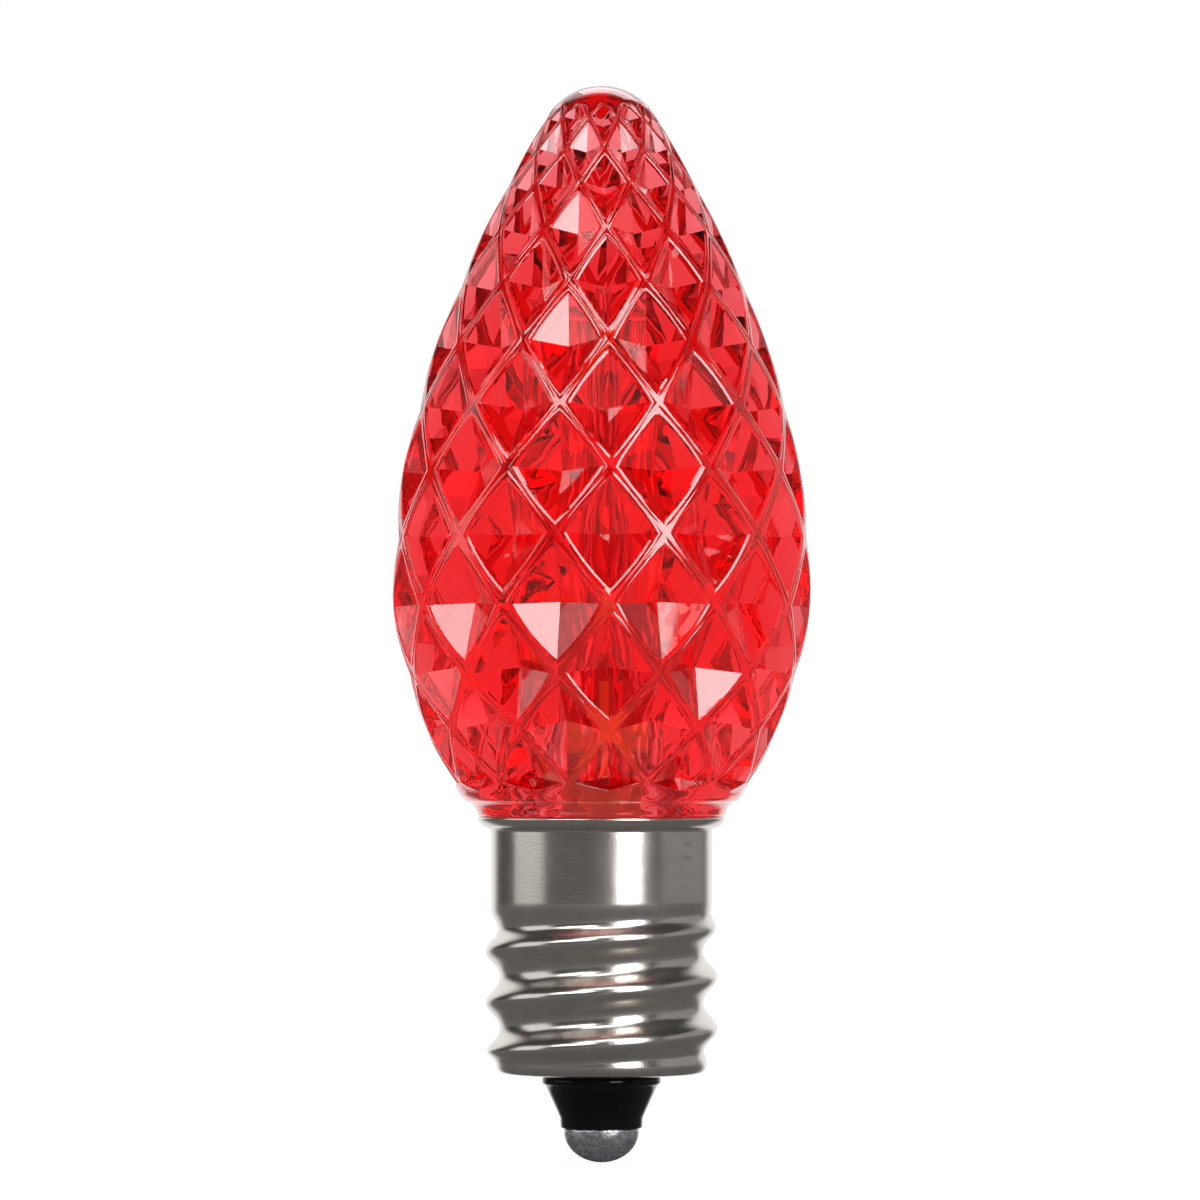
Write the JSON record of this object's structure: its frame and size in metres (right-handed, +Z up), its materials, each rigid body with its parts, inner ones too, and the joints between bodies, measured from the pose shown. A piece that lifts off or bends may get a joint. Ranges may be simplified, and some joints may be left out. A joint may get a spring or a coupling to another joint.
{
  "type": "faceted retrofit screw-base lamp",
  "caption": "Red faceted Christmas light bulb with a diamond-cut clear lens on a small nickel screw cap.",
  "frame": {"origin": "lowest point of the centre contact, on the lamp's axis", "axes": "+Z up the lamp's axis, from the centre contact to the tip of the lens; +X to the right and -Y to the front of the view"},
  "size_m": [0.0206, 0.0206, 0.0533],
  "materials": {
    "red_clear_plastic": "gloss",
    "nickel_plate": "satin",
    "black_plastic": "gloss",
    "solder": "satin",
    "board_laminate": "satin",
    "led_package": "gloss",
    "chip_mould": "matte",
    "capacitor_body": "satin",
    "tinned_wire": "satin"
  },
  "bodies": {
    "root": {"lens": "red_clear_plastic", "screw_shell": "nickel_plate", "base_insulator": "black_plastic", "centre_contact": "solder", "circuit_board": "board_laminate", "led_front": "led_package", "led_back": "led_package", "led_top": "led_package", "rectifier": "chip_mould", "dropper_resistor": "chip_mould", "smoothing_capacitor": "capacitor_body", "shell_lead": "tinned_wire", "contact_lead": "tinned_wire"}
  },
  "joints": []
}
